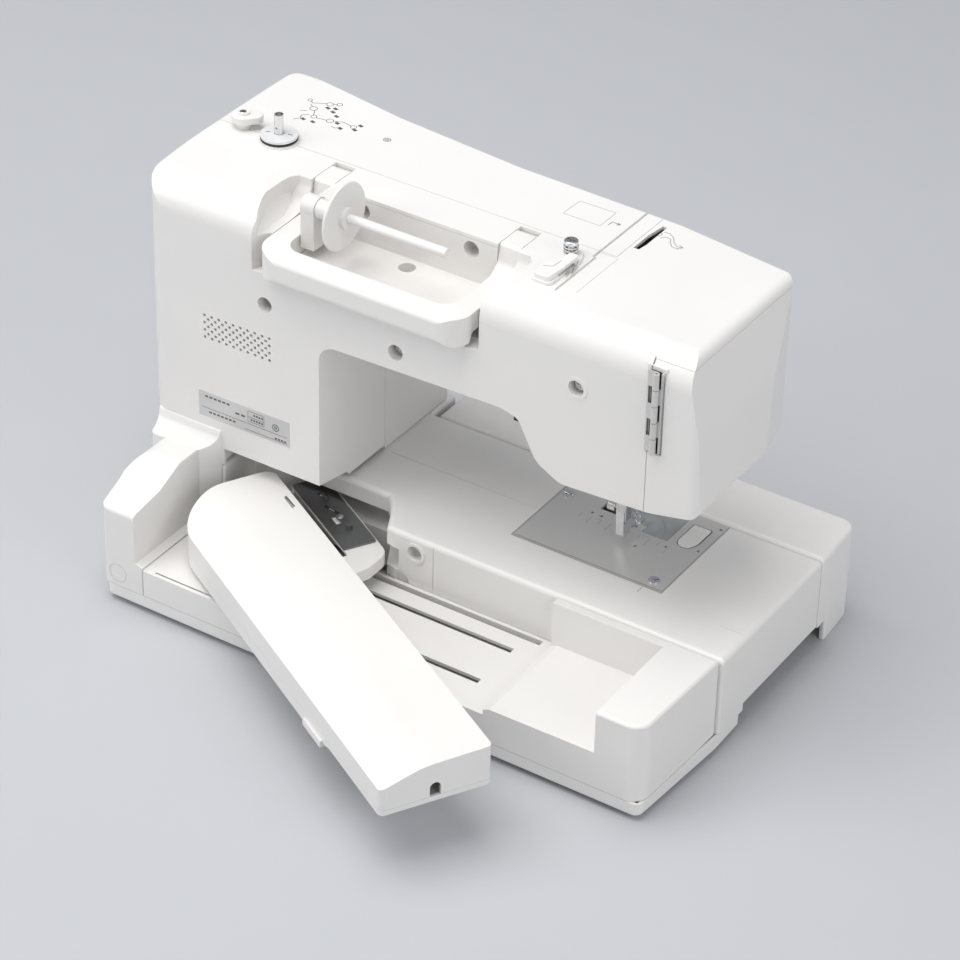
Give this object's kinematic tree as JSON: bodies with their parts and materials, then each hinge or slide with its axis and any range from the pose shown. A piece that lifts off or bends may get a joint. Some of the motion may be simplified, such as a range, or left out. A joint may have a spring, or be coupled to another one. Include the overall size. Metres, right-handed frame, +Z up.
{
  "type": "embroidery machine",
  "caption": "Domestic embroidery machine with a fold-out embroidery arm, a carry handle on top, a horizontal spool pin, a rear arm tray and a slide-off extension table.",
  "frame": {"origin": "on the table under the middle of the bounding box of the whole machine, arm swung out 30 degrees", "axes": "+X towards the handwheel side, +Y away from the operator, +Z up"},
  "size_m": [0.502, 0.428, 0.325],
  "materials": {
    "shell_white": "satin",
    "pan_grey": "matte",
    "steel": "brushed",
    "bright_steel": "polished",
    "casting": "as cast",
    "bronze": "machined",
    "rubber_black": "matte",
    "plastic_black": "matte",
    "plate_dark": "satin",
    "clear_cover": "clear plastic",
    "plastic_blue": "satin",
    "lamp_white": "frosted",
    "motor_black": "semi-gloss",
    "button_green": "satin"
  },
  "bodies": {
    "machine": {"arm_frame": "casting", "bed_cover": "shell_white", "bobbin_case": "plastic_black", "bottom_pan": "pan_grey", "casing_screws": "bright_steel", "display_screen": "plastic_blue", "face_hinge_fixed": "steel", "front_casing": "shell_white", "handle_well": "shell_white", "hinge_pins": "steel", "horn_cover": "shell_white", "main_motor": "motor_black", "needle_plate": "steel", "needle_plate_screws": "bright_steel", "power_inlet": "plastic_black", "rear_casing": "shell_white", "rear_tray": "shell_white", "rubber_feet": "rubber_black", "sewing_lamp": "lamp_white", "shaft_bushes": "bronze", "spool_pin": "shell_white", "thread_guide": "shell_white", "thread_stud": "bright_steel", "timing_belt": "rubber_black", "x_rails": "steel"},
    "main_drive": {"handwheel": "shell_white", "main_shaft": "steel", "upper_pulley": "plastic_black", "crank": "steel"},
    "lower_drive": {"lower_shaft": "steel", "lower_pulley": "plastic_black", "lower_gear": "plastic_black"},
    "hook": {"rotary_hook": "steel", "hook_gear": "plastic_black"},
    "motor_rotor": {"motor_pulley": "plastic_black"},
    "needle_unit": {"needle_bar": "steel", "needle_clamp": "steel", "needle": "bright_steel"},
    "take_up": {"take_up_lever": "steel"},
    "presser": {"presser_bar": "steel", "embroidery_foot": "steel"},
    "lifter": {"presser_lifter": "plastic_black"},
    "handle": {"carry_handle": "shell_white"},
    "face": {"face_cover": "shell_white", "face_hinge_moving": "steel"},
    "winder": {"winder_spindle": "bright_steel"},
    "stopper": {"winder_stopper": "shell_white"},
    "arm_slide": {"x_carriage": "casting"},
    "arm": {"arm_cover": "shell_white", "arm_base": "shell_white", "arm_rails": "steel"},
    "hoop_unit": {"hoop_carriage": "shell_white", "hoop_plate": "plate_dark"},
    "table": {"extension_table": "shell_white"},
    "hook_lid": {"hook_cover": "clear_cover"},
    "lid_release": {"cover_release": "plastic_black"},
    "start_key": {"start_button": "button_green"},
    "speed_knob": {"speed_slider": "button_green"},
    "power_rocker": {"power_switch": "plastic_black"},
    "bobbin_unit": {"bobbin": "clear_cover"}
  },
  "joints": [
    {"name": "main_spin", "type": "hinge", "parent": "machine", "child": "main_drive", "pos_m": [0.055, -0.12901, 0.236], "axis": [1, 0, 0], "continuous": true},
    {"name": "lower_spin", "type": "hinge", "parent": "machine", "child": "lower_drive", "pos_m": [0.055, -0.11211, 0.042], "axis": [1, 0, 0], "continuous": true},
    {"name": "hook_spin", "type": "hinge", "parent": "machine", "child": "hook", "pos_m": [-0.121, -0.13651, 0.05], "axis": [0, 0, 1], "continuous": true},
    {"name": "motor_spin", "type": "hinge", "parent": "machine", "child": "motor_rotor", "pos_m": [0.199, -0.11091, 0.12], "axis": [1, 0, 0], "continuous": true},
    {"name": "needle_slide", "type": "slide", "parent": "machine", "child": "needle_unit", "axis": [0, 0, 1], "range_m": [-0.026, 0]},
    {"name": "take_up_swing", "type": "hinge", "parent": "machine", "child": "take_up", "pos_m": [-0.1063, -0.13701, 0.278], "axis": [1, 0, 0], "range_deg": [-25, 25]},
    {"name": "presser_slide", "type": "slide", "parent": "machine", "child": "presser", "axis": [0, 0, 1], "range_m": [0, 0.006]},
    {"name": "lifter_swing", "type": "hinge", "parent": "machine", "child": "lifter", "pos_m": [-0.073, -0.03601, 0.25], "axis": [0, 1, 0], "range_deg": [0, 12]},
    {"name": "handle_swing", "type": "hinge", "parent": "machine", "child": "handle", "pos_m": [0.04225, -0.09751, 0.291], "axis": [1, 0, 0], "range_deg": [0, 95]},
    {"name": "face_swing", "type": "hinge", "parent": "machine", "child": "face", "pos_m": [-0.188, -0.01521, 0.2545], "axis": [0, 0, 1], "range_deg": [-110, 0]},
    {"name": "winder_spin", "type": "hinge", "parent": "machine", "child": "winder", "pos_m": [0.1784, -0.10751, 0.305], "axis": [0, 0, 1], "continuous": true},
    {"name": "stopper_turn", "type": "hinge", "parent": "machine", "child": "stopper", "pos_m": [0.2106, -0.10901, 0.3034], "axis": [0, 0, 1], "range_deg": [-30, 30]},
    {"name": "arm_x_slide", "type": "slide", "parent": "machine", "child": "arm_slide", "axis": [-1, 0, 0], "range_m": [0, 0.012]},
    {"name": "arm_swing", "type": "hinge", "parent": "arm_slide", "child": "arm", "pos_m": [0.088, 0.00699, 0.052], "axis": [0, 0, -1], "range_deg": [-30, 60]},
    {"name": "hoop_slide", "type": "slide", "parent": "arm", "child": "hoop_unit", "axis": [-0.866, 0.5, 0], "range_m": [0, 0.22]},
    {"name": "table_slide", "type": "slide", "parent": "machine", "child": "table", "axis": [-1, 0, 0], "range_m": [0, 0.12]},
    {"name": "hook_lid_lift", "type": "slide", "parent": "machine", "child": "hook_lid", "axis": [0, 0, 1], "range_m": [0, 0.03]},
    {"name": "lid_release_press", "type": "slide", "parent": "machine", "child": "lid_release", "axis": [0, 0, -1], "range_m": [0, 0.0015], "stiffness_N_per_m": 400},
    {"name": "start_press", "type": "slide", "parent": "machine", "child": "start_key", "axis": [0, 1, 0], "range_m": [0, 0.0015], "stiffness_N_per_m": 400},
    {"name": "speed_slide", "type": "slide", "parent": "machine", "child": "speed_knob", "axis": [1, 0, 0], "range_m": [-0.012, 0.012]},
    {"name": "power_rock", "type": "hinge", "parent": "machine", "child": "power_rocker", "pos_m": [0.2165, -0.15901, 0.062], "axis": [0, 1, 0], "range_deg": [-8, 8]},
    {"name": "bobbin_spin", "type": "hinge", "parent": "machine", "child": "bobbin_unit", "pos_m": [-0.121, -0.13651, 0.0656], "axis": [0, 0, 1], "continuous": true}
  ],
  "couplings": [
    {"joint": "lower_spin", "follows": "main_spin", "ratio": 1},
    {"joint": "motor_spin", "follows": "main_spin", "ratio": 2},
    {"joint": "hook_spin", "follows": "main_spin", "ratio": -2},
    {"joint": "lifter_swing", "follows": "presser_slide", "rad_per_m": 34.872}
  ]
}
